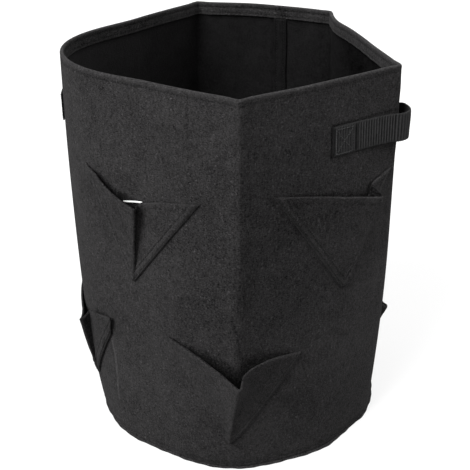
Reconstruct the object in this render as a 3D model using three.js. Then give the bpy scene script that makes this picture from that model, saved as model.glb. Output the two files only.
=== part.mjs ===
// Strawberry grow bag: a felt tub with eight planting pockets and two webbing handles.
// Millimetres, +Z up, the front fold of the rim on -Y. The base lies on the plane z = 0.
import * as THREE from 'three';

// Cloth, and the clearance that touching pieces keep
const CLOTH = 2;
const CLEARANCE = 0.3;

// The tub
const HEIGHT = 450;
const BASE_RADIUS = 174;
const BASE_LIP = 1.5;
const BELLY = 0.04;
const BELLY_RISE = 0.8;
const CORNER_RISE = 0.6;
const HEM_DEPTH = 16;
const SEAM_WIDTH = 17;
const SEAM_THICKNESS = 2;
const SEAM_AZIMUTH = 161.2;

// The pockets: the width and depth of one patch, and the heights of the two rows of mouths
const POCKET_WIDTH = 156;
const POCKET_DEPTH = 110;
const UPPER_MOUTH = 342;
const LOWER_MOUTH = 160;
const PATCH_TIP = 0.04;

// The handles; the drop is from the rim to the middle of the webbing
const WEBBING_WIDTH = 30;
const WEBBING_THICKNESS = 2;
const HANDLE_DROP = 61.5;
const HANDLE_SLACK = 11;

// The white tab in one mouth
const TAB_HEIGHT = 1.6;
const TAB_THICKNESS = 0.8;

// Azimuths are in degrees from the front, -Y, and grow towards +X.
// The rim in plan. A fold is a corner: its reach is a share of the base radius, its rounding is
// half an angle, and the side that follows it bows out by a share of the base radius.
const RIM_FOLDS = [
  { azimuth: 0, reach: 1.078, rounding: 4, bow: 0.018 },
  { azimuth: 63, reach: 1.043, rounding: 4, bow: -0.013 },
  { azimuth: 139, reach: 1.007, rounding: 5, bow: 0.059 },
  { azimuth: 196, reach: 1.092, rounding: 5, bow: 0.073 },
  { azimuth: 279, reach: 1.09, rounding: 49, bow: 0.112 },
];

// The foot of the wall in plan: soft turns between wide and narrow places
const FOOT_TURNS = [
  { azimuth: 20, reach: 0.988 },
  { azimuth: 37, reach: 1.004 },
  { azimuth: 50, reach: 0.992 },
  { azimuth: 64, reach: 1.02 },
  { azimuth: 100, reach: 1 },
  { azimuth: 180, reach: 1.005 },
  { azimuth: 250, reach: 1 },
  { azimuth: 306, reach: 1.022 },
  { azimuth: 330, reach: 0.983 },
  { azimuth: 357, reach: 1.012 },
];

// Mouths of the pockets, from the left corner to the right one as seen from outside.
// Across is a share of half the width; drop below the row's height and out from the wall
// are shares of the depth.
const MOUTH_FOLDED_LEFT = [
  { across: -0.83, drop: -0.07, out: 0 },
  { across: -0.76, drop: -0.051, out: 0.006 },
  { across: -0.585, drop: -0.012, out: 0.032 },
  { across: -0.476, drop: 0.038, out: 0.05 },
  { across: -0.287, drop: 0.107, out: 0.075 },
  { across: -0.104, drop: 0.148, out: 0.1 },
  { across: 0.102, drop: 0.171, out: 0.132 },
  { across: 0.044, drop: 0.165, out: 0.064 },
  { across: 0.129, drop: 0.139, out: 0.023 },
  { across: 0.392, drop: 0.089, out: 0.014 },
  { across: 0.944, drop: 0.027, out: 0 },
];
const MOUTH_FOLDED_RIGHT = [
  { across: -1.055, drop: -0.042, out: 0 },
  { across: -0.727, drop: -0.004, out: 0.027 },
  { across: -0.324, drop: 0.047, out: 0.073 },
  { across: 0.105, drop: 0.114, out: 0.118 },
  { across: 0.433, drop: 0.181, out: 0.164 },
  { across: 0.44, drop: 0.097, out: 0.018 },
  { across: 0.83, drop: -0.008, out: 0 },
];
const MOUTH_GAPING = [
  { across: -0.973, drop: -0.128, out: 0 },
  { across: -0.628, drop: -0.09, out: 0.059 },
  { across: -0.41, drop: -0.064, out: 0.109 },
  { across: -0.131, drop: 0.006, out: 0.186 },
  { across: 0.016, drop: 0.05, out: 0.245 },
  { across: 0.1, drop: 0.083, out: 0.291 },
  { across: 0.13, drop: -0.036, out: 0.236 },
  { across: 0.205, drop: -0.056, out: 0.191 },
  { across: 0.296, drop: -0.058, out: 0.155 },
  { across: 0.446, drop: -0.052, out: 0.109 },
  { across: 0.613, drop: -0.037, out: 0.073 },
  { across: 0.82, drop: -0.002, out: 0.036 },
  { across: 1.042, drop: 0.036, out: 0 },
];
const MOUTH_PLEATED = [
  { across: -0.85, drop: -0.05, out: 0 },
  { across: -0.5, drop: 0.02, out: 0 },
  { across: -0.3, drop: 0.05, out: 0.006 },
  { across: -0.1, drop: 0.08, out: 0.018 },
  { across: 0.1, drop: 0.08, out: 0.042 },
  { across: 0.25, drop: 0.07, out: 0.085 },
  { across: 0.35, drop: 0.06, out: 0.13 },
  { across: 0.405, drop: 0.045, out: 0.173 },
  { across: 0.41, drop: -0.045, out: 0.055 },
  { across: 0.89, drop: -0.1, out: 0.035 },
  { across: 0.794, drop: 0.164, out: 0 },
];
const MOUTH_CREASED = [
  { across: -1, drop: 0, out: 0 },
  { across: -0.9, drop: 0.035, out: 0.04 },
  { across: -0.8, drop: 0.12, out: 0.085 },
  { across: -0.77, drop: 0.085, out: 0.02 },
  { across: 0, drop: 0.04, out: 0.012 },
  { across: 1, drop: 0, out: 0 },
];
const MOUTH_SLACK = [
  { across: -1, drop: 0, out: 0 },
  { across: -0.5, drop: 0.02, out: 0.08 },
  { across: -0.05, drop: 0.07, out: 0.16 },
  { across: 0.45, drop: 0.03, out: 0.09 },
  { across: 1, drop: 0, out: 0 },
];

// Each pocket: the azimuth of its middle, its row, its mouth, and its V's tip
const POCKETS = [
  {
    name: 'pocket_upper_left', azimuth: -37, row: UPPER_MOUTH,
    mouth: MOUTH_FOLDED_LEFT, tip: { across: -0.1, drop: 1.045 },
  },
  {
    name: 'pocket_upper_right', azimuth: 39.2, row: UPPER_MOUTH,
    mouth: MOUTH_FOLDED_RIGHT, tip: { across: 0.064, drop: 1.15 },
  },
  {
    name: 'pocket_upper_back_right', azimuth: 125, row: UPPER_MOUTH,
    mouth: MOUTH_SLACK, tip: { across: 0, drop: 1 },
  },
  {
    name: 'pocket_upper_back_left', azimuth: 232, row: UPPER_MOUTH,
    mouth: MOUTH_SLACK, tip: { across: 0, drop: 1 },
  },
  {
    name: 'pocket_lower_front', azimuth: -2, row: LOWER_MOUTH,
    mouth: MOUTH_GAPING, tip: { across: -0.047, drop: 1.08 },
  },
  {
    name: 'pocket_lower_right', azimuth: 93, row: LOWER_MOUTH,
    mouth: MOUTH_CREASED, tip: { across: 0, drop: 1.02 },
  },
  {
    name: 'pocket_lower_back', azimuth: 190, row: LOWER_MOUTH,
    mouth: MOUTH_SLACK, tip: { across: 0, drop: 1.02 },
  },
  {
    name: 'pocket_lower_left', azimuth: -71, row: LOWER_MOUTH,
    mouth: MOUTH_PLEATED, tip: { across: 0.165, drop: 0.935 },
  },
];

// Each handle's way along the wall; out is a share of the slack that its loop stands off
const HANDLES = [
  {
    name: 'handle_right',
    way: [
      { azimuth: 34, out: 0 },
      { azimuth: 44.6, out: 0 },
      { azimuth: 52, out: 0.15 },
      { azimuth: 58, out: 0.45 },
      { azimuth: 61.5, out: 0.85 },
      { azimuth: 64, out: 1 },
      { azimuth: 66.5, out: 1.02 },
      { azimuth: 72, out: 0.9 },
      { azimuth: 81, out: 0.62 },
      { azimuth: 90, out: 0.3 },
      { azimuth: 97, out: 0 },
      { azimuth: 108, out: 0 },
    ],
  },
  {
    name: 'handle_left',
    way: [
      { azimuth: -79, out: 0 },
      { azimuth: -89, out: 0 },
      { azimuth: -97, out: 0.4 },
      { azimuth: -107, out: 0.85 },
      { azimuth: -117, out: 1 },
      { azimuth: -128, out: 0.8 },
      { azimuth: -137, out: 0.4 },
      { azimuth: -144, out: 0 },
      { azimuth: -154, out: 0 },
    ],
  },
];

// The white tab: its two ends in the mouth of the upper left pocket
const TAB_ENDS = [
  { across: -0.22, drop: 0.19 },
  { across: 0, drop: 0.157 },
  { across: 0.08, drop: 0.152 },
];

// Mesh steps
const COLUMN_STEP = 5;
const FOLD_COLUMNS = [-1, -0.6, -0.3, 0, 0.3, 0.6, 1];
const SLOPE_STEP = 0.1;
const NORMAL_STEP = 0.5;
const LEAN_STEP = 25;
const HEM_TURN = [30, 60, 90, 120, 150];
const PATCH_STEP = 6;
const PATCH_FOLD_STEP = 2;
const PATCH_ROWS = 5;
const PATCH_FOLD_ROWS = 15;
const STRAP_STEP = 4;
const WALL_ROWS = [0, 0.012, 0.04, 0.11, 0.24, 0.39, 0.54, 0.69, 0.84];

const toRadians = THREE.MathUtils.degToRad;
const fullTurn = (azimuth) => THREE.MathUtils.euclideanModulo(azimuth, 360);
const wallFoot = CLOTH + CLEARANCE;

// Radius of the rim if its folds were sharp: a chord between two folds, and its bow
function sideRadius(azimuth) {
  const index = RIM_FOLDS.findIndex((fold, i) => {
    const next = RIM_FOLDS[(i + 1) % RIM_FOLDS.length];
    return fullTurn(azimuth - fold.azimuth) < fullTurn(next.azimuth - fold.azimuth);
  });
  const from = RIM_FOLDS[index];
  const to = RIM_FOLDS[(index + 1) % RIM_FOLDS.length];
  const span = fullTurn(to.azimuth - from.azimuth);
  const done = fullTurn(azimuth - from.azimuth);
  const chord = (from.reach * to.reach * Math.sin(toRadians(span)))
    / (from.reach * Math.sin(toRadians(done)) + to.reach * Math.sin(toRadians(span - done)));
  return BASE_RADIUS * (chord + from.bow * Math.sin((Math.PI * done) / span));
}

// Cubic curve from a value and slope at the start, share 0, to a value and slope at share 1
function cubic(start, startSlope, end, endSlope, share) {
  const back = 1 - share;
  return start * back ** 2 * (1 + 2 * share) + end * share ** 2 * (3 - 2 * share)
    + startSlope * share * back ** 2 - endSlope * share ** 2 * back;
}

// Radius of the rim: each fold is a cubic curve between its two sides with a bulge on it
// that brings it out to the fold's reach
function rimRadius(azimuth) {
  for (const fold of RIM_FOLDS) {
    const away = fullTurn(azimuth - fold.azimuth + 180) - 180;
    if (Math.abs(away) < fold.rounding) {
      const width = 2 * fold.rounding;
      const start = sideRadius(fold.azimuth - fold.rounding);
      const end = sideRadius(fold.azimuth + fold.rounding);
      const beforeStart = sideRadius(fold.azimuth - fold.rounding - SLOPE_STEP);
      const afterEnd = sideRadius(fold.azimuth + fold.rounding + SLOPE_STEP);
      const startSlope = ((start - beforeStart) / SLOPE_STEP) * width;
      const endSlope = ((afterEnd - end) / SLOPE_STEP) * width;
      const curve = (share) => cubic(start, startSlope, end, endSlope, share);
      const bulge = fold.reach * BASE_RADIUS - curve(0.5);
      return curve((away + fold.rounding) / width) + bulge * (1 - (away / fold.rounding) ** 2) ** 2;
    }
  }
  return sideRadius(azimuth);
}

function footRadius(azimuth) {
  const index = FOOT_TURNS.findIndex((turn, i) => {
    const next = FOOT_TURNS[(i + 1) % FOOT_TURNS.length];
    return fullTurn(azimuth - turn.azimuth) < fullTurn(next.azimuth - turn.azimuth);
  });
  const from = FOOT_TURNS[index];
  const to = FOOT_TURNS[(index + 1) % FOOT_TURNS.length];
  const done = fullTurn(azimuth - from.azimuth) / fullTurn(to.azimuth - from.azimuth);
  const eased = (1 - Math.cos(Math.PI * done)) / 2;
  return BASE_RADIUS * THREE.MathUtils.lerp(from.reach, to.reach, eased);
}

// Radius of the wall's outer face: the foot's plan turns into the rim's, over a slight belly
function wallRadius(azimuth, height) {
  const rise = Math.max(height, 0) / HEIGHT;
  const plan = THREE.MathUtils.lerp(footRadius(azimuth), rimRadius(azimuth), rise ** CORNER_RISE);
  return plan * (1 + BELLY * Math.sin(Math.PI * Math.min(rise, 1) ** BELLY_RISE));
}

function onWall(azimuth, height) {
  const radius = wallRadius(azimuth, height);
  const angle = toRadians(azimuth);
  return new THREE.Vector3(radius * Math.sin(angle), -radius * Math.cos(angle), height);
}

// Level direction away from the wall, square to the chord over a step to each side
function awayFromWall(azimuth, height, step) {
  const along = onWall(azimuth + step, height).sub(onWall(azimuth - step, height));
  return new THREE.Vector3(along.y, -along.x, 0).normalize();
}

// A point at a distance out from the wall's outer face, square to it in plan
function offWall(azimuth, height, out) {
  return onWall(azimuth, height).addScaledVector(awayFromWall(azimuth, height, NORMAL_STEP), out);
}

// Closed body from a skin of points and a second skin behind it: rows of points, and strips
// that join the two skins round their edges
function sheetBody(front, back) {
  const rows = front.length;
  const columns = front[0].length;
  const points = [...front.flat(), ...back.flat()];
  const frontAt = (row, column) => row * columns + column;
  const backAt = (row, column) => rows * columns + row * columns + column;
  const faces = [];
  const quad = (a, b, c, d) => faces.push(a, b, c, a, c, d);
  for (let row = 0; row < rows - 1; row += 1) {
    for (let column = 0; column < columns - 1; column += 1) {
      const [up, right] = [row + 1, column + 1];
      quad(frontAt(row, column), frontAt(row, right), frontAt(up, right), frontAt(up, column));
      quad(backAt(row, column), backAt(up, column), backAt(up, right), backAt(row, right));
    }
    quad(frontAt(row, 0), frontAt(row + 1, 0), backAt(row + 1, 0), backAt(row, 0));
    const last = columns - 1;
    quad(frontAt(row + 1, last), frontAt(row, last), backAt(row, last), backAt(row + 1, last));
  }
  for (let column = 0; column < columns - 1; column += 1) {
    quad(frontAt(0, column + 1), frontAt(0, column), backAt(0, column), backAt(0, column + 1));
    const top = rows - 1;
    quad(frontAt(top, column), frontAt(top, column + 1), backAt(top, column + 1), backAt(top, column));
  }
  return indexedGeometry(points, faces);
}

// Closed ring from one closed outline of points at each column
function ringBody(outlines) {
  const columns = outlines.length;
  const corners = outlines[0].length;
  const faces = [];
  for (let column = 0; column < columns; column += 1) {
    const here = column * corners;
    const next = ((column + 1) % columns) * corners;
    for (let corner = 0; corner < corners; corner += 1) {
      const after = (corner + 1) % corners;
      faces.push(here + corner, next + corner, next + after, here + corner, next + after, here + after);
    }
  }
  return indexedGeometry(outlines.flat(), faces);
}

function indexedGeometry(points, faces) {
  const geometry = new THREE.BufferGeometry().setFromPoints(points);
  geometry.setIndex(faces);
  geometry.computeVertexNormals();
  return geometry;
}

// The rows of a skin moved out along the skin's own normals
function thicken(rows, thickness) {
  const { clamp } = THREE.MathUtils;
  const at = (row, column) => rows[clamp(row, 0, rows.length - 1)][clamp(column, 0, rows[0].length - 1)];
  return rows.map((points, row) => points.map((point, column) => {
    const across = at(row, column + 1).clone().sub(at(row, column - 1)).normalize();
    const up = at(row + 1, column).clone().sub(at(row - 1, column));
    return point.clone().addScaledVector(across.cross(up).normalize(), thickness);
  }));
}

const sharpFolds = RIM_FOLDS.filter((fold) => fold.rounding < 2 * COLUMN_STEP);

// Whether an azimuth lies on or just beside a sharp fold of the wall
function nearFold(azimuth) {
  return sharpFolds.some(
    (fold) => Math.abs(fullTurn(azimuth - fold.azimuth + 180) - 180) < fold.rounding,
  );
}

// Rows of a table with extra ones between, none further apart than a step in azimuth
function refine(stations, step, foldStep) {
  const fine = [];
  stations.slice(0, -1).forEach((station, i) => {
    const next = stations[i + 1];
    const largest = nearFold(station.azimuth) || nearFold(next.azimuth) ? foldStep : step;
    const parts = Math.max(1, Math.ceil(Math.abs(next.azimuth - station.azimuth) / largest));
    for (let part = 0; part < parts; part += 1) {
      fine.push(Object.fromEntries(Object.keys(station).map(
        (key) => [key, THREE.MathUtils.lerp(station[key], next[key], part / parts)],
      )));
    }
  });
  return [...fine, stations.at(-1)];
}

// Azimuths of the wall's columns: even steps, and closer ones round each sharp fold
function wallColumns() {
  const even = Array.from({ length: 360 / COLUMN_STEP }, (_, i) => i * COLUMN_STEP);
  const close = sharpFolds.flatMap(
    (fold) => FOLD_COLUMNS.map((share) => fullTurn(fold.azimuth + share * fold.rounding)),
  );
  return [...even.filter((azimuth) => !nearFold(azimuth)), ...close].sort((a, b) => a - b);
}

// The wall: one cloth thick, with its top edge turned in as a hem two cloths thick
function bagWall() {
  const hemmed = 2 * CLOTH + CLEARANCE;
  const rounding = hemmed / 2;
  const hemFoot = HEIGHT - HEM_DEPTH;
  const upOutside = WALL_ROWS.map((share) => ({ height: wallFoot + share * (HEIGHT - wallFoot), inset: 0 }));
  const roundTop = HEM_TURN.map((turn) => ({
    height: HEIGHT - rounding + rounding * Math.sin(toRadians(turn)),
    inset: rounding - rounding * Math.cos(toRadians(turn)),
  }));
  const outline = [
    ...upOutside,
    { height: HEIGHT - rounding, inset: 0 },
    ...roundTop,
    { height: HEIGHT - rounding, inset: hemmed },
    { height: hemFoot, inset: hemmed },
    { height: hemFoot, inset: CLOTH },
    ...upOutside.toReversed().map(({ height }) => ({ height, inset: CLOTH })),
  ];
  return ringBody(wallColumns().map(
    (azimuth) => outline.map(({ height, inset }) => offWall(azimuth, height, -inset)),
  ));
}

// The base: a flat disc of the same cloth whose edge shows as a thin lip under the wall
function bagBase() {
  const edge = wallColumns().map((azimuth) => offWall(azimuth, 0, BASE_LIP));
  const outline = new THREE.Shape(edge.map((point) => new THREE.Vector2(point.x, point.y)));
  return new THREE.ExtrudeGeometry(outline, { depth: CLOTH, bevelEnabled: false });
}

// The body seam: a flat strip inside the wall, from the base to the hem
function backSeam() {
  const halfTurn = THREE.MathUtils.radToDeg(SEAM_WIDTH / 2 / BASE_RADIUS);
  const foot = wallFoot;
  const top = HEIGHT - HEM_DEPTH - CLEARANCE;
  const skin = WALL_ROWS.map((share) => [halfTurn, 0, -halfTurn].map((turn) => offWall(
    SEAM_AZIMUTH - turn,
    foot + (share / WALL_ROWS.at(-1)) * (top - foot),
    -CLOTH - CLEARANCE,
  )));
  return sheetBody(skin, thicken(skin, -SEAM_THICKNESS));
}

// A place on a pocket in azimuth and height, from its shares
function pocketPlace(pocket, { across, drop }) {
  const radius = wallRadius(pocket.azimuth, pocket.row);
  return {
    azimuth: pocket.azimuth + THREE.MathUtils.radToDeg((across * POCKET_WIDTH) / 2 / radius),
    height: pocket.row - drop * POCKET_DEPTH,
  };
}

// A pocket: straight lines run from the tip of the V up to the mouth, so each fold of the
// mouth fades out towards the tip, and the two sewn edges lie on the wall. The cloth leans out
// square to the wall over a wide step, so a fold of the wall doesn't fan it out.
function pocketPatch(pocket) {
  const tip = pocketPlace(pocket, pocket.tip);
  const mouth = refine(pocket.mouth.map((station) => ({
    ...pocketPlace(pocket, station),
    out: station.out * POCKET_DEPTH,
  })), PATCH_STEP, PATCH_FOLD_STEP);
  const turnsFold = mouth.some((station) => nearFold(station.azimuth));
  const rows = turnsFold ? PATCH_FOLD_ROWS : PATCH_ROWS;
  const shares = Array.from(
    { length: rows + 1 },
    (_, row) => THREE.MathUtils.lerp(PATCH_TIP, 1, row / rows),
  );
  const skin = shares.map((share) => mouth.map((station) => {
    const azimuth = THREE.MathUtils.lerp(tip.azimuth, station.azimuth, share);
    const height = THREE.MathUtils.lerp(tip.height, station.height, share);
    const lean = awayFromWall(azimuth, height, LEAN_STEP);
    return offWall(azimuth, height, CLEARANCE).addScaledVector(lean, station.out * share);
  }));
  return sheetBody(thicken(skin, CLOTH), skin);
}

// A handle: flat webbing sewn down at both ends, its loop standing off between them
function handleStrap({ way }) {
  const stations = refine(way.toSorted((a, b) => a.azimuth - b.azimuth), STRAP_STEP, STRAP_STEP / 2);
  const skin = [-0.5, 0.5].map((share) => stations.map(({ azimuth, out }) => offWall(
    azimuth,
    HEIGHT - HANDLE_DROP + share * WEBBING_WIDTH,
    CLEARANCE + out * HANDLE_SLACK,
  )));
  return sheetBody(thicken(skin, WEBBING_THICKNESS), skin);
}

// The narrow white tab that shows in the mouth of the upper left pocket
function whiteTab() {
  const places = TAB_ENDS.map((end) => pocketPlace(POCKETS[0], end));
  const skin = [-1, 0].map((share) => places.map(
    ({ azimuth, height }) => offWall(azimuth, height + share * TAB_HEIGHT, CLEARANCE),
  ));
  return sheetBody(thicken(skin, TAB_THICKNESS), skin);
}

const felt = new THREE.MeshStandardMaterial({ color: '#3a3939', roughness: 0.95, metalness: 0 });
const innerFelt = new THREE.MeshStandardMaterial({ color: '#333232', roughness: 0.95, metalness: 0 });
const webbing = new THREE.MeshStandardMaterial({ color: '#1f1f20', roughness: 0.7, metalness: 0 });
const tape = new THREE.MeshStandardMaterial({ color: '#ececec', roughness: 0.6, metalness: 0 });

const bag = new THREE.Group();
function add(name, geometry, material) {
  const mesh = new THREE.Mesh(geometry, material);
  mesh.name = name;
  bag.add(mesh);
}

add('bag_wall', bagWall(), felt);
add('bag_base', bagBase(), felt);
add('back_seam', backSeam(), innerFelt);
for (const pocket of POCKETS) add(pocket.name, pocketPatch(pocket), felt);
for (const handle of HANDLES) add(handle.name, handleStrap(handle), webbing);
add('white_tab', whiteTab(), tape);

export default bag;
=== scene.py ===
import math

import bpy
import numpy as np
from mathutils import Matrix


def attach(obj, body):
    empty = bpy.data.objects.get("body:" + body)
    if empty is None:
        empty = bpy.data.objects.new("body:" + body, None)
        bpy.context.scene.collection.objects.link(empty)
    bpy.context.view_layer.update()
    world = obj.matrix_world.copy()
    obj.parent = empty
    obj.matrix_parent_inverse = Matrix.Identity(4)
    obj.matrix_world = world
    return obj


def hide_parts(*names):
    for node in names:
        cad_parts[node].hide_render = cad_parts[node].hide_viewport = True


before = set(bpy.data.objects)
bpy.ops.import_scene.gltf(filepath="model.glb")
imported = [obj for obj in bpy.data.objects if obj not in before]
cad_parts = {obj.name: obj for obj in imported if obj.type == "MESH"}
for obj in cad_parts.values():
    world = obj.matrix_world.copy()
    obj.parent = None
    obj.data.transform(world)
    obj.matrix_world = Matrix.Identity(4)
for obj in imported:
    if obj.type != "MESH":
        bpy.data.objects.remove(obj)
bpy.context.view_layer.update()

# Strawberry grow bag: felt tub, eight planting pockets, two webbing handles.
# Shapes are worked out in millimetres, with +Z up and the front on -Y, and built in metres.

MM = 0.001
CLOTH = 2.0
CLEARANCE = 0.3
HEIGHT = 450.0
BASE_RADIUS = 174.0
BASE_LIP = 1.5
BELLY = 0.04
BELLY_RISE = 0.8
CORNER_RISE = 0.6
HEM_DEPTH = 16.0
SEAM_WIDTH = 17.0
SEAM_AZIMUTH = 161.2
POCKET_WIDTH = 156.0
POCKET_DEPTH = 110.0
UPPER_MOUTH = 342.0
LOWER_MOUTH = 160.0
PATCH_TIP = 0.04
WEBBING_WIDTH = 30.0
WEBBING_THICKNESS = 2.0
HANDLE_DROP = 61.5
HANDLE_SLACK = 11.0
TAB_HEIGHT = 1.6
TAB_THICKNESS = 0.8
WALL_FOOT = CLOTH + CLEARANCE
SLOPE_STEP = 0.1
NORMAL_STEP = 0.5
LEAN_STEP = 25.0

# Mean swell of the wall past the base, for laying it flat
MEAN_SWELL = 1.04

# The turned-in hem
HEM_INSET = 2 * CLOTH + CLEARANCE
HEM_ROUNDING = HEM_INSET / 2
HEM_FOOT = HEIGHT - HEM_DEPTH

# Heights of the stitch lines round the rim and round the foot
HEM_STITCHES = HEIGHT - 6
BASE_STITCHES = 9.0

# A patch's folded edge: width of its band, and the stitch lines' distance from the sewn edge
BAND_WIDTH = 8.5
BAND_STITCHES = (2.0, BAND_WIDTH - 1.2)
MOUTH_BAND = 7.5

# A patch's cut edge is thinner than its middle
EDGE_THICKNESS = 0.7
EDGE_REACH = 1.3

# How much rounder the gaping pocket's fold gets towards its tip, and how its two sides differ in shade
FOLD_SOFTENING = 5.0
FACET_TONE = 0.08

# Webbing: pitch and depth of its ribs, droop of the right loop, length sewn down, and its stitched box
RIB_PITCH = 3.3
RIB_DEPTH = 0.36
LOOP_DROOP = 7.0
SEWN_LENGTH = 29
BOX_START = 3.5
BOX_END = 25.0
BOX_HALF = 0.41

# How fine the grids are: degrees, rows, millimetres, and points across the webbing
WALL_COLUMN_STEP = 0.45
OUTER_ROWS = 240
HEM_ROWS = 16
INNER_ROWS = 70
SEAM_ROWS = 130
SEAM_COLUMNS = 15
PATCH_ROWS = 84
PATCH_STEP = 1.5
STRAP_STEP = 0.55
STRAP_COLUMNS = 21

# Puckers of the wall along the base seam: waves round the foot, depth, height
FOOT_PUCKERS = (118, 0.35, 11)

# How much light is painted on a raised crease of a millimetre and shade on a sunk one, and how fast a crease
# fades in and out along its length
CREASE_LIGHT_AND_SHADE = 0.35
CREASE_FADE_IN = 8
CREASE_FADE_OUT = 5

# The rim in plan: azimuth, reach, rounding, bow of the side that follows
RIM_FOLDS = [
    (0, 1.078, 4, 0.018),
    (63, 1.043, 4, -0.013),
    (139, 1.007, 5, 0.059),
    (196, 1.092, 5, 0.073),
    (279, 1.09, 49, 0.112),
]
BACK_FOLDS = [fold[0] for fold in RIM_FOLDS[2:4]]

# The foot in plan: azimuth, reach
FOOT_TURNS = [
    (20, 0.988), (37, 1.004), (50, 0.992), (64, 1.02), (100, 1), (180, 1.005),
    (250, 1), (306, 1.022), (330, 0.983), (357, 1.012),
]

# Mouths: across, drop, out
FOLDED_LEFT = [
    (-0.83, -0.07, 0), (-0.76, -0.051, 0.006), (-0.585, -0.012, 0.032), (-0.476, 0.038, 0.05),
    (-0.287, 0.107, 0.075), (-0.104, 0.148, 0.1), (0.102, 0.171, 0.132), (0.044, 0.165, 0.064),
    (0.129, 0.139, 0.023), (0.392, 0.089, 0.014), (0.944, 0.027, 0),
]
FOLDED_RIGHT = [
    (-1.055, -0.042, 0), (-0.727, -0.004, 0.027), (-0.324, 0.047, 0.073), (0.105, 0.114, 0.118),
    (0.433, 0.181, 0.164), (0.44, 0.097, 0.018), (0.83, -0.008, 0),
]
GAPING = [
    (-0.973, -0.128, 0), (-0.628, -0.09, 0.059), (-0.41, -0.064, 0.109), (-0.131, 0.006, 0.186),
    (0.016, 0.05, 0.245), (0.1, 0.083, 0.291), (0.13, -0.036, 0.236), (0.205, -0.056, 0.191),
    (0.296, -0.058, 0.155), (0.446, -0.052, 0.109), (0.613, -0.037, 0.073), (0.82, -0.002, 0.036),
    (1.042, 0.036, 0),
]
PLEATED = [
    (-0.85, -0.05, 0), (-0.5, 0.02, 0), (-0.3, 0.05, 0.006), (-0.1, 0.08, 0.018), (0.1, 0.08, 0.042),
    (0.25, 0.07, 0.085), (0.35, 0.06, 0.13), (0.405, 0.045, 0.173), (0.41, -0.045, 0.055),
    (0.89, -0.1, 0.035), (0.794, 0.164, 0),
]
CREASED = [
    (-1, 0, 0), (-0.9, 0.035, 0.04), (-0.8, 0.12, 0.085), (-0.77, 0.085, 0.02), (0, 0.04, 0.012),
    (1, 0, 0),
]
SLACK = [(-1, 0, 0), (-0.5, 0.02, 0.08), (-0.05, 0.07, 0.16), (0.45, 0.03, 0.09), (1, 0, 0)]

# Pockets: name, azimuth, row, mouth, tip across, tip drop
POCKETS = [
    ("pocket_upper_left", -37, UPPER_MOUTH, FOLDED_LEFT, -0.1, 1.045),
    ("pocket_upper_right", 39.2, UPPER_MOUTH, FOLDED_RIGHT, 0.064, 1.15),
    ("pocket_upper_back_right", 125, UPPER_MOUTH, SLACK, 0, 1),
    ("pocket_upper_back_left", 232, UPPER_MOUTH, SLACK, 0, 1),
    ("pocket_lower_front", -2, LOWER_MOUTH, GAPING, -0.047, 1.08),
    ("pocket_lower_right", 93, LOWER_MOUTH, CREASED, 0, 1.02),
    ("pocket_lower_back", 190, LOWER_MOUTH, SLACK, 0, 1.02),
    ("pocket_lower_left", -71, LOWER_MOUTH, PLEATED, 0.165, 0.935),
]

# Shade on the faces that turn in behind a tuck, on the wall behind a mouth and on a patch's back
USUAL_TUCK = 0.5
TUCK_SHADES = {"pocket_upper_left": 0.88, "pocket_upper_right": 0.72, "pocket_lower_left": 0.45}
USUAL_MOUTH = 0.5
MOUTH_SHADES = {"pocket_upper_left": 0.9, "pocket_upper_right": 0.6}
USUAL_PATCH_BACK_SHADE = 0.4
PATCH_BACK_SHADES = {"pocket_upper_right": 0.75, "pocket_lower_left": -0.2}

# Share of a half patch beside its sewn edges that is free of shade
SEWN_MARGIN = 0.05

# Handles: name, then azimuth and out along the way
HANDLES = [
    ("handle_right", [
        (34, 0), (44.6, 0), (52, 0.15), (58, 0.45), (61.5, 0.85), (64, 1), (66.5, 1.02),
        (72, 0.9), (81, 0.62), (90, 0.3), (97, 0), (108, 0),
    ]),
    ("handle_left", [
        (-154, 0), (-144, 0), (-137, 0.4), (-128, 0.8), (-117, 1), (-107, 0.85), (-97, 0.4),
        (-89, 0), (-79, 0),
    ]),
]

# The white tab's ends in the mouth of the upper left pocket: across, drop
TAB_ENDS = [(-0.22, 0.19), (0, 0.157), (0.08, 0.152)]

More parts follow.
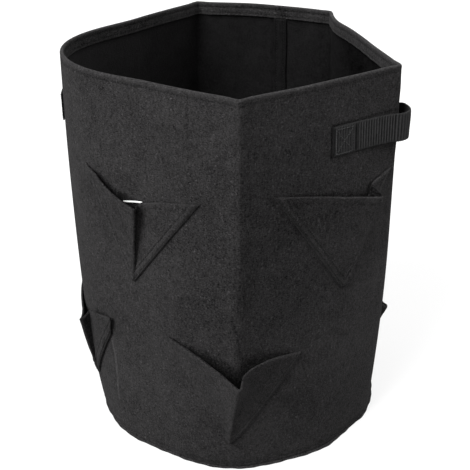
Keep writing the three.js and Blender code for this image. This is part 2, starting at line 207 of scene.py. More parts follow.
# Creases pressed into the wall: points (azimuth, height), depth out, half width
CREASES = [
    ([(0, 452), (0.1, 400), (-0.1, 330), (0.1, 262), (-1.0, 235)], 0.7, 1.6),
    ([(-3.6, 224), (-2.3, 217), (-0.1, 193.6), (0.9, 167), (1.8, 150)], -1.3, 2.0),
    ([(-16.4, 452), (-16.6, 430), (-16.3, 405), (-16.9, 392)], -0.45, 1.3),
    ([(-19.6, 229), (-10, 225), (-2.0, 223), (-1.2, 231)], -0.4, 1.4),
    ([(63, 452), (63.2, 400), (62.8, 350)], 0.6, 2.0),
    ([(139, 452), (139.2, 380), (138.8, 300), (139, 180)], 0.8, 2.2),
    ([(196, 452), (196.2, 380), (195.8, 290), (196, 160)], 0.8, 2.2),
    ([(-52.5, 137), (-51.2, 118), (-50.9, 96), (-51.7, 50)], 1.0, 1.8),
    ([(-51.3, 323), (-50.4, 304), (-48.6, 276)], 0.4, 1.6),
    ([(-48.5, 322), (-47.5, 302), (-46.5, 283)], -0.35, 1.5),
    ([(-45.9, 313), (-45.5, 297), (-45.2, 280)], 0.35, 1.6),
    ([(-41.3, 305), (-41.2, 290), (-41, 272)], 0.3, 1.6),
    ([(-3.3, 44), (-9, 34), (-14, 27)], -0.6, 2.0),
    ([(-3.3, 44), (2.5, 35), (6, 22)], -0.7, 2.0),
    ([(-3.3, 46), (-3.0, 20), (-3.2, 4)], 0.7, 2.2),
    ([(-37.8, 232), (-39, 214), (-37.5, 196)], -0.5, 2.2),
    ([(-37.8, 232), (-46, 219), (-51, 212)], -0.5, 2.2),
    ([(39.9, 225), (41.5, 206), (40.6, 186)], -0.5, 2.4),
    ([(-62, 344), (-66, 351), (-70, 353)], -0.5, 2.2),
    ([(-25.4, 176), (-30, 184), (-35, 188)], -0.5, 2.2),
    ([(21.1, 156), (26, 163), (31, 165)], -0.5, 2.4),
    ([(30, 330), (31, 300), (29.4, 262)], -0.35, 2.0),
    ([(-30, 120), (-27, 92), (-30, 60)], 0.4, 3.0),
    ([(102, 330), (103, 280), (101, 220)], 0.4, 2.6),
    ([(-120, 330), (-122, 260), (-119, 190)], 0.5, 3.0),
    ([(163.5, 452), (163.4, 300), (163.6, 4)], -0.9, 1.1),
]

# Lines on the wall that are only darker or lighter: painted shadow along the right handle's sewn end and top
# edge, painted light and shade along creases, and darker lines by the rim's stitches: points (azimuth,
# height), share, half width
LINES = [
    ([(33.6, 403.5), (33.7, 390), (33.6, 371)], -0.75, 1.1),
    ([(34, 404.6), (44, 404.6), (56, 404.4), (62, 404)], -0.7, 1.4),
    ([(-75.5, 443.5), (-40, 443.5), (-3, 443.5)], -0.16, 1.0),
    ([(3, 443.5), (30, 443.5), (61, 443.5)], -0.1, 1.0),
    ([(-16.4, 448), (-16.2, 393), (-16.8, 341)], -0.16, 1.1),
    ([(-22, 225), (-13, 229), (-5.6, 234.4), (-0.7, 245)], -0.14, 1.1),
    ([(-52.5, 137), (-51.2, 118), (-50.9, 96), (-51.7, 50)], 0.55, 1.4),
    ([(-53.8, 132), (-52.6, 112), (-52.5, 92), (-53, 60)], -0.2, 1.5),
    ([(-15, 441), (-8, 441), (-1.5, 441)], -0.2, 0.9),
]

# Broad areas of the felt painted lighter and darker, as painted light and shade: azimuth, height, half width
# in degrees, half height, share
LIGHT_AND_SHADE_AREAS = [
    (-22, 425, 30, 60, 0.16),
    (10, 250, 20, 110, -0.22),
    (-9, 270, 11, 70, -0.16),
    (56, 270, 15, 110, 0.3),
    (69, 230, 8, 120, 0.6),
    (40, 150, 22, 60, 0.1),
    (8, 75, 9, 42, 0.3),
    (-9, 75, 8, 42, -0.1),
    (64, 110, 16, 90, 0.32),
    (-70, 330, 18, 120, 0.1),
    (-20, 30, 30, 45, -0.12),
    (30, 60, 40, 60, -0.1),
    (150, 300, 30, 100, -0.12),
    (210, 200, 35, 110, 0.12),
    (250, 380, 30, 80, -0.1),
]

# Dent of the rim beside a fold: azimuth, half width in degrees, depth
RIM_DENT = (126, 11, 5.5)

# Soft waves of the wall: waves round it, climb, phase, size
SEED = 7
WAVE_COUNT = 26
rng = np.random.RandomState(SEED)
WAVES = [
    (int(rng.randint(2, 15)), rng.uniform(-0.028, 0.028),
     rng.uniform(0, 2 * math.pi), rng.uniform(0.05, 0.17))
    for _ in range(WAVE_COUNT)
]


def around(azimuth, middle):
    """Degrees from a middle azimuth, from -180 to 180."""
    return np.mod(azimuth - middle + 180, 360) - 180


def smoothstep(value):
    """From 0 to 1 with an easy start and end."""
    value = np.clip(value, 0, 1)
    return value * value * (3 - 2 * value)


def bell(away, width):
    """1 at no distance away, falling off over the width."""
    return np.exp(-((away / width) ** 2))


def side_radius(azimuth):
    """Plan of the rim before its folds are rounded."""
    azimuth = np.asarray(azimuth, float)
    radius = np.zeros_like(azimuth)
    for i, (start, reach, _, bow) in enumerate(RIM_FOLDS):
        end, next_reach = RIM_FOLDS[(i + 1) % len(RIM_FOLDS)][:2]
        span = (end - start) % 360
        done = np.mod(azimuth - start, 360)
        rad, rad_span = np.radians(done), math.radians(span)
        chord = reach * next_reach * math.sin(rad_span) / (
            reach * np.sin(rad) + next_reach * np.sin(rad_span - rad) + 1e-12)
        value = BASE_RADIUS * (chord + bow * np.sin(math.pi * done / span))
        radius = np.where(done < span, value, radius)
    return radius


def cubic(start, start_slope, end, end_slope, share):
    """A curve between two values with set slopes at both."""
    back = 1 - share
    return (start * back**2 * (1 + 2 * share) + end * share**2 * (3 - 2 * share)
            + start_slope * share * back**2 - end_slope * share**2 * back)


def rim_radius(azimuth):
    """Plan of the rim, with a curve over each fold that still reaches out to it."""
    radius = side_radius(azimuth)
    for middle, reach, rounding, _ in RIM_FOLDS:
        away = around(azimuth, middle)
        width = 2 * rounding
        start, end = side_radius([middle - rounding])[0], side_radius([middle + rounding])[0]
        start_slope = (start - side_radius([middle - rounding - SLOPE_STEP])[0]) / SLOPE_STEP * width
        end_slope = (side_radius([middle + rounding + SLOPE_STEP])[0] - end) / SLOPE_STEP * width
        bulge = reach * BASE_RADIUS - cubic(start, start_slope, end, end_slope, 0.5)
        share = (away + rounding) / width
        value = cubic(start, start_slope, end, end_slope, share) + bulge * (1 - (away / rounding) ** 2) ** 2
        radius = np.where(np.abs(away) < rounding, value, radius)
    return radius


def foot_radius(azimuth):
    """Plan of the foot, eased from each turn to the next."""
    radius = np.zeros_like(azimuth)
    for i, (start, reach) in enumerate(FOOT_TURNS):
        end, next_reach = FOOT_TURNS[(i + 1) % len(FOOT_TURNS)]
        span = (end - start) % 360
        done = np.mod(azimuth - start, 360)
        eased = (1 - np.cos(math.pi * done / span)) / 2
        radius = np.where(done < span, BASE_RADIUS * (reach + (next_reach - reach) * eased), radius)
    return radius


TURN = np.arange(0, 360, 0.05)
RIM = rim_radius(TURN)
FOOT = foot_radius(TURN)


def wall_radius(azimuth, height):
    """The wall's plan at any height: from the foot to the rim, with a belly."""
    rise = np.maximum(height, 0) / HEIGHT
    foot = np.interp(azimuth, TURN, FOOT, period=360)
    rim = np.interp(azimuth, TURN, RIM, period=360)
    plan = foot + (rim - foot) * rise**CORNER_RISE
    return plan * (1 + BELLY * np.sin(math.pi * np.minimum(rise, 1) ** BELLY_RISE))


def length_per_degree(azimuth, height):
    """Millimetres round the wall for each degree."""
    return math.radians(1) * float(wall_radius(np.array(azimuth, float), np.array(height)))


def on_wall(azimuth, height):
    """Points on the wall's smooth outer face."""
    radius, angle = wall_radius(azimuth, height), np.radians(azimuth)
    return np.stack([radius * np.sin(angle), -radius * np.cos(angle), height + 0 * radius], -1)


def unrolled(azimuth, height, middle):
    """A place on the wall laid flat: millimetres round from the middle, and height."""
    turn = around(np.asarray(azimuth, float), middle)
    return np.radians(turn) * BASE_RADIUS * MEAN_SWELL, np.asarray(height, float)


def away_from_path(azimuth, height, path):
    """Distance from a path on the wall, and the share of the path's length nearest to it."""
    middle = path[0][0]
    u, v = unrolled(azimuth, height, middle)
    points = [unrolled(a, h, middle) for a, h in path]
    lengths = [math.dist(points[i], points[i + 1]) for i in range(len(points) - 1)]
    best, share, run = np.full(u.shape, 1e9), np.zeros(u.shape), 0.0
    for (a, b), length in zip(zip(points, points[1:]), lengths):
        du, dv = b[0] - a[0], b[1] - a[1]
        t = np.clip(((u - a[0]) * du + (v - a[1]) * dv) / length**2, 0, 1)
        d = np.hypot(u - a[0] - t * du, v - a[1] - t * dv)
        near = d < best
        share = np.where(near, (run + t * length) / sum(lengths), share)
        best = np.where(near, d, best)
        run += length
    return best, share


def relief(azimuth, height):
    """Waves, creases and puckers of the wall in millimetres out, and the light and shade painted on each
    place.
    """
    azimuth, height = np.broadcast_arrays(np.asarray(azimuth, float), np.asarray(height, float))
    out, tone = np.zeros(azimuth.shape), np.zeros(azimuth.shape)
    for turns, climb, phase, size in WAVES:
        out += size * np.sin(turns * np.radians(azimuth) + climb * height + phase)
    for path, depth, width in CREASES:
        away, share = away_from_path(azimuth, height, path)
        from_rim = path[0][1] > HEIGHT
        fade_in = 1 if from_rim else np.clip(share * CREASE_FADE_IN, 0, 1)
        fade_out = np.clip((1 - share) * CREASE_FADE_OUT, 0, 1)
        wander = 0.75 + 0.25 * np.sin(height * 0.21 + azimuth)
        line = bell(away, width) * fade_in * fade_out * wander
        out += depth * line
        # Painted highlight on raised creases and painted shade in sunk ones
        tone += CREASE_LIGHT_AND_SHADE * np.clip(depth, -1, 1) * line
    for path, share, width in LINES:
        tone += share * bell(away_from_path(azimuth, height, path)[0], width)
    for middle, level, wide, tall, share in LIGHT_AND_SHADE_AREAS:
        tone += share * bell(around(azimuth, middle), wide) * bell(height - level, tall)
    middle, wide, deep = RIM_DENT
    out -= deep * bell(around(azimuth, middle), wide) * smoothstep((height / HEIGHT - 0.3) / 0.7)
    out *= 0.25 + 0.75 * np.clip(height / 30, 0, 1)
    waves, depth, fade = FOOT_PUCKERS
    return out + depth * np.sin(np.radians(azimuth) * waves) * np.exp(-height / fade), tone


def away_from_wall(azimuth, height, step):
    """Level direction away from the wall, square to the chord over a step to each side."""
    along = on_wall(azimuth + step, height) - on_wall(azimuth - step, height)
    normal = np.stack([along[..., 1], -along[..., 0], np.zeros(along.shape[:-1])], -1)
    return normal / np.linalg.norm(normal, axis=-1, keepdims=True)


def pocket_shade(azimuth, height):
    """Share of shade on the wall behind the pockets' mouths."""
    shade = np.zeros(np.broadcast(azimuth, height).shape)
    for name, middle, row, mouth, tip_across, tip_drop in POCKETS:
        u = around(azimuth, middle) * length_per_degree(middle, row) / (POCKET_WIDTH / 2)
        drop = (row - height) / POCKET_DEPTH
        across, drops, outs = np.array(mouth).T
        across = np.maximum.accumulate(across)
        edge, gap = np.interp(u, across, drops), np.interp(u, across, outs)
        left, right = mouth[0], mouth[-1]
        done = np.clip((tip_drop - drop) / (tip_drop - (left[1] + right[1]) / 2), 0, 1)
        inside = u > tip_across + (left[0] - tip_across) * done + SEWN_MARGIN
        inside &= u < tip_across + (right[0] - tip_across) * done - SEWN_MARGIN
        soft = 0.25 * gap + 0.008
        behind = inside * smoothstep((drop - edge + soft) / (2 * soft)) * smoothstep(gap / 0.03)
        shade = np.maximum(shade, MOUTH_SHADES.get(name, USUAL_MOUTH) * behind)
    return shade


def off_wall(azimuth, height, out, with_relief=True):
    """Points a distance out from the wall, or inside it where the distance is negative."""
    if with_relief:
        out = out + relief(azimuth, height)[0]
    normal = away_from_wall(azimuth, height, NORMAL_STEP)
    return on_wall(azimuth, height) + normal * np.asarray(out)[..., None]


def grid_normals(grid):
    """Unit normals of a grid of points."""
    across, up = np.gradient(grid, axis=1), np.gradient(grid, axis=0)
    normal = np.cross(across, up)
    return normal / np.maximum(np.linalg.norm(normal, axis=-1, keepdims=True), 1e-9)


def make_mesh(name, points, faces, material, tones=None):
    """A smooth piece from points in millimetres, with a tone for each point."""
    mesh = bpy.data.meshes.new(name)
    mesh.from_pydata((np.asarray(points) * MM).tolist(), [], [list(map(int, f)) for f in faces])
    mesh.validate()
    mesh.polygons.foreach_set("use_smooth", [True] * len(mesh.polygons))
    mesh.materials.append(material)
    if tones is not None:
        layer = mesh.attributes.new("tone", "FLOAT", "POINT")
        layer.data.foreach_set("value", np.asarray(tones, np.float32))
    piece = bpy.data.objects.new(name, mesh)
    bpy.context.scene.collection.objects.link(piece)
    return piece


def quads(rows, columns, start=0, flip=False, closed=False):
    """Four-sided faces of a grid, whose rows are rings where it is closed."""
    i = np.arange(rows - 1)[:, None]
    j = np.arange(columns if closed else columns - 1)[None, :]
    k = (j + 1) % columns
    ring = [start + i * columns + j, start + i * columns + k,
            start + (i + 1) * columns + k, start + (i + 1) * columns + j]
    faces = np.stack([r + 0 * i + 0 * j for r in ring], -1).reshape(-1, 4)
    return faces[:, ::-1] if flip else faces


def cloth_body(name, front, back, material, front_tone=None, back_tone=None, bulge=0.5, edge_light_and_shade=0.12):
    """A sheet with two faces and a rounded edge all round."""
    rows, columns = front.shape[:2]
    count = rows * columns
    grid = np.arange(count).reshape(rows, columns)
    loop = np.concatenate([grid[0, :-1], grid[:-1, -1], grid[-1, :0:-1], grid[:0:-1, 0]])
    inner = np.clip(np.stack(np.divmod(loop, columns), -1), [1, 1], [rows - 2, columns - 2])
    inner = inner[:, 0] * columns + inner[:, 1]
    flat_front, flat_back = front.reshape(-1, 3), back.reshape(-1, 3)
    middle = (flat_front[loop] + flat_back[loop]) / 2
    outward = middle - (flat_front[inner] + flat_back[inner]) / 2
    outward /= np.maximum(np.linalg.norm(outward, axis=-1, keepdims=True), 1e-9)
    points = np.concatenate([flat_front, flat_back, middle + outward * bulge])
    after = np.roll(np.arange(len(loop)), -1)
    rim = 2 * count + np.arange(len(loop))
    faces = [
        quads(rows, columns),
        quads(rows, columns, count, flip=True),
        np.stack([loop[after], loop, rim, rim[after]], -1),
        np.stack([rim[after], rim, count + loop, count + loop[after]], -1),
    ]
    tones = np.zeros(len(points))
    if front_tone is not None:
        tones[:count] = front_tone.ravel()
        # The rounded edge takes the front's tone plus painted light (above 0) or painted shade (below 0)
        tones[2 * count:] = front_tone.ravel()[loop] + edge_light_and_shade
    if back_tone is not None:
        tones[count:2 * count] = back_tone.ravel()
    return make_mesh(name, points, np.concatenate(faces), material, tones)


def smoothed(values, reach):
    """A row of values averaged over its neighbours, with its ends kept."""
    kernel = np.hanning(2 * reach + 3)[1:-1]
    kernel /= kernel.sum()
    before = 2 * values[0] - values[reach:0:-1]
    after = 2 * values[-1] - values[-2:-reach - 2:-1]
    padded = np.concatenate([before, values, after])
    return np.convolve(padded, kernel, "valid")


# Materials

ROUGHNESS_RANGE = 0.08
SHADE_FLOOR = 0.06

# Specks of lint: scale of their noise, and the level above which it is lint
LINT_SCALE = 420.0
LINT_LEVEL = 0.63


def node(tree, kind, **inputs):
    """A shader node with its inputs set."""
    made = tree.nodes.new(kind)
    for key, value in inputs.items():
        made.inputs[key].default_value = value
    return made


def math_node(tree, operation, first, second):
    """One sum on two values, each a number or a socket."""
    made = tree.nodes.new("ShaderNodeMath")
    made.operation = operation
    for socket, value in zip(made.inputs, (first, second)):
        if isinstance(value, (int, float)):
            socket.default_value = value
        else:
            tree.links.new(value, socket)
    return made.outputs[0]


def cloth_material(name, color, layers, bump, roughness, sheen, shine=0.06, lint=0.0):
    """Layers are noise: scale (x, y, z), detail, share of the colour, share of the bump."""
    material = bpy.data.materials.new(name)
    material.use_nodes = True
    tree = material.node_tree
    shader = tree.nodes["Principled BSDF"]
    shader.inputs["Specular IOR Level"].default_value = shine
    shader.inputs["Sheen Weight"].default_value = sheen
    shader.inputs["Sheen Roughness"].default_value = 0.55
    shader.inputs["Sheen Tint"].default_value = (0.75, 0.74, 0.75, 1)
    coordinates = tree.nodes.new("ShaderNodeTexCoord").outputs["Object"]
    shade, height, fine = 1.0, 0.0, None
    for scale, detail, color_share, bump_share in layers:
        mapping = tree.nodes.new("ShaderNodeMapping")
        mapping.inputs["Scale"].default_value = scale
        tree.links.new(coordinates, mapping.inputs["Vector"])
        noise = node(tree, "ShaderNodeTexNoise", Scale=1.0, Detail=detail, Roughness=0.6)
        tree.links.new(mapping.outputs[0], noise.inputs["Vector"])
        centred = math_node(tree, "SUBTRACT", noise.outputs[0], 0.5)
        fine = fine or centred
        shade = math_node(tree, "ADD", math_node(tree, "MULTIPLY", centred, color_share), shade)
        height = math_node(tree, "ADD", math_node(tree, "MULTIPLY", centred, bump_share), height)
    if lint:
        specks = node(tree, "ShaderNodeTexNoise", Scale=LINT_SCALE, Detail=1.0, Roughness=0.5)
        tree.links.new(coordinates, specks.inputs["Vector"])
        above = math_node(tree, "MAXIMUM", math_node(tree, "SUBTRACT", specks.outputs[0], LINT_LEVEL), 0.0)
        shade = math_node(tree, "ADD", math_node(tree, "MULTIPLY", above, lint), shade)
    # The tone attribute holds painted light and shade, added to the colour
    painted_light_and_shade = tree.nodes.new("ShaderNodeAttribute")
    painted_light_and_shade.attribute_name = "tone"
    shade = math_node(tree, "ADD", shade, painted_light_and_shade.outputs["Fac"])
    shade = math_node(tree, "MAXIMUM", shade, SHADE_FLOOR)
    mixed = node(tree, "ShaderNodeCombineColor")
    for socket, value in zip(mixed.inputs, color):
        tree.links.new(math_node(tree, "MULTIPLY", shade, value), socket)
    tree.links.new(mixed.outputs[0], shader.inputs["Base Color"])
    rough = math_node(tree, "ADD", math_node(tree, "MULTIPLY", fine, ROUGHNESS_RANGE), roughness)
    tree.links.new(rough, shader.inputs["Roughness"])
    bumped = node(tree, "ShaderNodeBump", Strength=1.0, Distance=bump)
    tree.links.new(height, bumped.inputs["Height"])
    tree.links.new(bumped.outputs[0], shader.inputs["Normal"])
    return material


FELT_LAYERS = [
    ((1100, 1100, 1100), 2, 2.2, 0.8),
    ((420, 420, 900), 3, 2.6, 0.9),
    ((600, 600, 220), 2, 1.7, 0.4),
    ((65, 65, 65), 3, 0.8, 0.0),
    ((15, 15, 15), 2, 0.7, 0.0),
]
INNER_FACE_LAYERS = [
    ((420, 420, 900), 3, 1.6, 0.9),
    ((600, 600, 220), 2, 1.1, 0.4),
    ((65, 65, 65), 3, 0.8, 0.0),
    ((15, 15, 15), 2, 0.7, 0.0),
]
WEB_LAYERS = [
    ((2600, 2600, 900), 2, 1.2, 0.8),
    ((300, 300, 300), 2, 1.2, 0.1),
]
TAPE_LAYERS = [((1800, 1800, 1800), 2, 0.12, 0.6)]

# Colours: red, green, blue
FELT_GREY = (0.0225, 0.0217, 0.0221)
# The inner faces' grey is the felt painted darker: painted shade inside the tub
SHADED_INNER_GREY = (0.0085, 0.0083, 0.0085)
WEBBING_GREY = (0.021, 0.0208, 0.0213)
DARK_THREAD = (0.006, 0.006, 0.0063)
PALE_THREAD = (0.045, 0.045, 0.046)
TAPE_WHITE = (0.8, 0.8, 0.79)

# Name, colour, layers, depth of the bumps in metres, roughness, sheen
felt = cloth_material("felt_outer", FELT_GREY, FELT_LAYERS, 0.0009, 0.95, 0.03, lint=8.0)
# The same felt painted darker for the inner faces: painted shade inside the tub
shaded_inner_felt = cloth_material("felt_inner_shaded", SHADED_INNER_GREY, INNER_FACE_LAYERS, 0.0006, 1.0, 0.0, shine=0.01)
webbing = cloth_material("webbing_black", WEBBING_GREY, WEB_LAYERS, 0.0003, 0.55, 0.02, shine=0.15)
thread = cloth_material("thread_black", DARK_THREAD, WEB_LAYERS, 0.0002, 0.6, 0.01, shine=0.2)
webbing_thread = cloth_material("thread_grey", PALE_THREAD, WEB_LAYERS, 0.0002, 0.6, 0.01, shine=0.2)
tape = cloth_material("tape_white", TAPE_WHITE, TAPE_LAYERS, 0.0002, 0.6, 0.1)


def settle(piece, slot, *replaced):
    """Attaches a piece to the root and hides the imported solids that it stands for. The slot is not used."""
    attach(piece, "root")
    if replaced:
        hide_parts(*replaced)
    return piece


# Stitches: short threads that lie on a line of points

# Rings of one stitch: share of the length along, share of the radius, radii up
STITCH_RINGS = [
    (-0.5, 0.25, -0.8), (-0.36, 0.9, -0.1), (0.0, 1.0, 0.25), (0.36, 0.9, -0.1), (0.5, 0.25, -0.8),
]
STITCH_SIDES = 6


def stitch_row(points, normals, pitch, length, radius, lift):
    """Capsules along a path: points and faces, to be joined by the caller."""
    steps = np.linalg.norm(np.diff(points, axis=0), axis=1)
    run = np.concatenate([[0], np.cumsum(steps)])
    made_points, made_faces, count = [], [], 0
    sides = STITCH_SIDES
    last = (len(STITCH_RINGS) - 1) * sides
    for middle in np.arange(pitch / 2, run[-1] - length / 2, pitch):
        place = np.array([np.interp(middle, run, points[:, k]) for k in range(3)])
        ahead = np.array([np.interp(middle + 0.5, run, points[:, k]) for k in range(3)])
        up = np.array([np.interp(middle, run, normals[:, k]) for k in range(3)])
        along = ahead - place
        along /= max(np.linalg.norm(along), 1e-9)
        up -= along * up.dot(along)
        up /= max(np.linalg.norm(up), 1e-9)
        side = np.cross(up, along)
        for where, wide, sink in STITCH_RINGS:
            centre = place + along * where * length + up * (lift + sink * radius)
            for k in range(sides):
                angle = 2 * math.pi * k / sides
                spoke = side * math.cos(angle) + up * math.sin(angle)
                made_points.append(centre + radius * wide * spoke)
        for ring in range(len(STITCH_RINGS) - 1):
            for k in range(sides):
                a, b = count + ring * sides + k, count + ring * sides + (k + 1) % sides
                made_faces.append((a, b, b + sides, a + sides))
        made_faces.append(tuple(count + k for k in reversed(range(sides))))
        made_faces.append(tuple(count + last + k for k in range(sides)))
        count += last + sides
    return np.array(made_points).reshape(-1, 3), made_faces


def stitches(name, rows, pitch=3.6, length=2.7, radius=0.32, lift=0.05, material=thread, slot="felt"):
    """One piece of all the stitches on rows of points and normals."""
    points, faces, start = [], [], 0
    for line, normals in rows:
        if len(line) < 3:
            continue
        row_points, row_faces = stitch_row(np.asarray(line), np.asarray(normals), pitch, length, radius, lift)
        points.append(row_points)
        faces += [tuple(start + i for i in face) for face in row_faces]
        start += len(row_points)
    settle(make_mesh(name, np.concatenate(points), faces, material), slot)


# The tub

def hem_tone(azimuth):
    """The hem's inner face: light, with painted shade at the body seam, at the folds and to both sides."""
    seam = bell(around(azimuth, SEAM_AZIMUTH), 3.2)
    folds = bell(around(azimuth, BACK_FOLDS[0]), 1.2) + bell(around(azimuth, BACK_FOLDS[1]), 1.2)
    left, right = bell(around(azimuth, 262), 40), bell(around(azimuth, 100), 35)
    return 0.05 - 0.45 * seam - 0.25 * folds - 0.25 * left - 0.25 * right


def inside_tone(azimuth, height):
    """The wall's inner face, with painted light and shade: darkest on the side that faces the light from the
    left, lighter on the other side, darker at the back folds and by the seam.
    """
    left, right = bell(around(azimuth, 265), 45), bell(around(azimuth, 95), 40)
    folds = bell(around(azimuth, BACK_FOLDS[0]), 1.5) + bell(around(azimuth, BACK_FOLDS[1]), 1.5)
    seam = bell(around(azimuth, SEAM_AZIMUTH + 3.4), 0.8)
    lines = relief(azimuth, height)[1]
    return 0.2 * lines + 0.2 - 0.7 * right + left - 0.3 * folds - 0.25 * seam


def outer_face(azimuth, z):
    """Lift and tone of the wall's outer face at one height, with its stitched lines pressed in."""
    tuck = 1.2 * math.exp(-(z - WALL_FOOT) / 2.5)
    lift = -0.35 * bell(z - HEM_STITCHES, 0.9) - tuck - 0.5 * bell(z - BASE_STITCHES, 1.2)
    # Painted shade along the two stitched lines, and a painted highlight rising to the rim's rounded edge
    lines = -0.25 * bell(z - HEM_STITCHES, 1.0) - 0.3 * bell(z - BASE_STITCHES, 1.5)
    edge_highlight = 0.2 * math.exp(-(HEIGHT - HEM_ROUNDING - z) / 1.2)
    tone = relief(azimuth, z)[1] - pocket_shade(azimuth, np.full(len(azimuth), z))
    return lift, tone + lines + edge_highlight


def hem_face(azimuth, z):
    """Lift and tone of the hem's inner face at one height. It waves more towards its free edge."""
    wave = 0.35 * np.sin(np.radians(azimuth) * 41 + 1) * (HEIGHT - z) / HEM_DEPTH
    lift = wave + 0.5 * bell(z - HEM_STITCHES, 1.0)
    # Painted shade along the stitches, a darker line a little above the free edge, and a painted highlight on
    # the free edge
    lines = -0.4 * bell(z - HEM_STITCHES - 1, 1.3) - 0.35 * bell(z - HEM_FOOT - 4, 1.1)
    edge_highlight = 0.3 * bell(z - HEM_FOOT - 1, 1.2)
    return lift, hem_tone(azimuth) + lines + edge_highlight


def wall_profile():
    """Face, height and inset of each row: up the outer face, over the top, down hem and inner face."""
    turns = np.radians(np.arange(18, 180, 18))
    top = HEIGHT - HEM_ROUNDING
    rows = [("outer", z, 0) for z in np.linspace(WALL_FOOT, top, OUTER_ROWS)]
    rows += [("top", top + HEM_ROUNDING * math.sin(t), HEM_ROUNDING * (1 - math.cos(t))) for t in turns]
    rows += [("hem", z, HEM_INSET) for z in np.linspace(top, HEM_FOOT + 0.6, HEM_ROWS)]
    rows += [("hem edge", HEM_FOOT, HEM_INSET - 0.7), ("hem edge", HEM_FOOT, CLOTH + 0.5)]
    rows += [("inner", z, CLOTH) for z in np.linspace(HEM_FOOT - 0.6, WALL_FOOT, INNER_ROWS)]
    return rows


def bag_wall():
    """The wall's outer face, hem and inner face as one closed sheet; below the hem the inner face takes the
    felt painted darker, as painted shade.
    """
    columns = np.arange(0, 360, WALL_COLUMN_STEP)
    profile = wall_profile()
    rows, tones = [], []
    for face, z, inset in profile:
        if face == "outer":
            lift, tone = outer_face(columns, z)
        elif face == "hem":
            lift, tone = hem_face(columns, z)
        elif face == "top":
            # Painted highlight over the rim's rounded top
            lift, tone = 0, np.full(len(columns), 0.25)
        else:
            lift, tone = 0, inside_tone(columns, z)
        rows.append(off_wall(columns, np.full(len(columns), z), lift - inset))
        tones.append(tone)
    grid = np.array(rows)
    count, width = grid.shape[:2]
    faces = quads(count + 1, width, closed=True) % (count * width)
    piece = make_mesh("bag_wall_felt", grid.reshape(-1, 3), faces, felt, np.concatenate(tones))
    piece.data.materials.append(shaded_inner_felt)
    first_inner = [face for face, _, _ in profile].index("inner") - 1
    rows_of_faces = np.arange(len(faces)) // width
    shaded_inside = (rows_of_faces >= first_inner) & (rows_of_faces < count - 1)
    piece.data.polygons.foreach_set("material_index", shaded_inside.astype(np.int32))
    settle(piece, "felt", "bag_wall")


def bag_base():
    """A flat disc of felt with a slightly uneven cut edge."""
    columns = np.arange(0, 360, 1.2)
    edge = off_wall(columns, np.zeros(len(columns)), BASE_LIP, with_relief=False)
    outward = edge[:, :2] / np.linalg.norm(edge[:, :2], axis=1, keepdims=True)
    wobble = 0.35 * np.sin(np.radians(columns) * 31) + 0.25 * np.sin(np.radians(columns) * 67 + 1)

    def ring(z, share, past_edge):
        """A ring of the disc at a share of its reach, and a distance past that."""
        made = edge.copy()
        made[:, :2] = edge[:, :2] * share + outward * past_edge
        made[:, 2] = z
        return made

    lip = wobble[:, None]
    top, underside = (
        [ring(z, share, 0) for share in (0.04, 0.2, 0.4, 0.6, 0.8, 0.92)] + [ring(z, 1, lip - 0.5)]
        for z in (CLOTH, 0)
    )
    grid = np.array(top + [ring(CLOTH / 2, 1, lip)] + underside[::-1])
    count, width = grid.shape[:2]
    points = np.concatenate([grid.reshape(-1, 3), [[0, 0, CLOTH], [0, 0, 0]]])
    top_middle, bottom_middle = count * width, count * width + 1
    here = np.arange(width)
    after = (here + 1) % width
    last = (count - 1) * width
    faces = [tuple(face) for face in quads(count, width, flip=True, closed=True)]
    faces += [(a, b, top_middle) for a, b in zip(here, after)]
    faces += [(last + b, last + a, bottom_middle) for a, b in zip(here, after)]
    piece = make_mesh("bag_base_felt", points, faces, felt, np.zeros(len(points)))
    settle(piece, "felt", "bag_base")


def back_seam():
    """The seam strip inside the wall: a ridge with two stitched grooves."""
    heights = np.linspace(WALL_FOOT, HEM_FOOT - CLEARANCE, SEAM_ROWS)
    offsets = np.linspace(-1, 1, SEAM_COLUMNS)
    half = math.degrees(SEAM_WIDTH / 2 / BASE_RADIUS)
    azimuth = SEAM_AZIMUTH - offsets[None, :] * half + 0.12 * np.sin(heights * 0.09)[:, None]
    z = heights[:, None] + 0 * offsets[None, :]
    ridge = 0.9 * np.cos(offsets * math.pi / 2)[None, :] ** 0.5 * (1 + 0.2 * np.sin(heights * 0.8)[:, None])
    groove = 0.7 * (bell(offsets + 0.55, 0.11) + bell(offsets - 0.6, 0.11))[None, :]
    skin = off_wall(azimuth, z, -CLOTH - CLEARANCE + 0 * z)
    front = off_wall(azimuth, z, -CLOTH - CLEARANCE - 1.2 - ridge + groove)
    # Painted light on the ridge, painted shade in the grooves, and the whole strip painted darker
    piece = cloth_body("back_seam_felt", front, skin, shaded_inner_felt, 0.25 * (ridge - groove) - 0.2, bulge=0.2)
    settle(piece, "felt", "back_seam")
    normals = grid_normals(front)
    in_grooves = (3, 11)
    stitches("back_seam_stitches", [(front[:, c], normals[:, c]) for c in in_grooves], lift=0.1)


def path_of(stations, step):
    """Points along straight pieces between stations, evenly spaced, as columns."""
    stations = np.array(stations, float)
    lengths = np.linalg.norm(np.diff(stations, axis=0), axis=1)
    run = np.concatenate([[0], np.cumsum(lengths)])
    count = max(8, int(round(run[-1] / step)))
    where = np.linspace(0, run[-1], count)
    return np.stack([np.interp(where, run, stations[:, k]) for k in range(stations.shape[1])], -1)


def returns_behind(line, shares):
    """How far the mouth runs back under itself: 1 on the face of a tuck that turns inward."""
    along, up, out = np.gradient(line, axis=0).T
    steep = smoothstep((-out - 0.6 * np.abs(along) - 0.5 * np.abs(up) - 0.1) / 0.4)
    return steep[None, :] * smoothstep(shares * 1.6)


def edge_distance(u, z, tip, corner):
    """Distance on a patch from the sewn edge between its tip and a corner of its mouth."""
    du, dz = corner[0] - tip[0], corner[1] - tip[1]
    return np.abs((u - tip[0]) * dz - (z - tip[1]) * du) / math.hypot(du, dz)


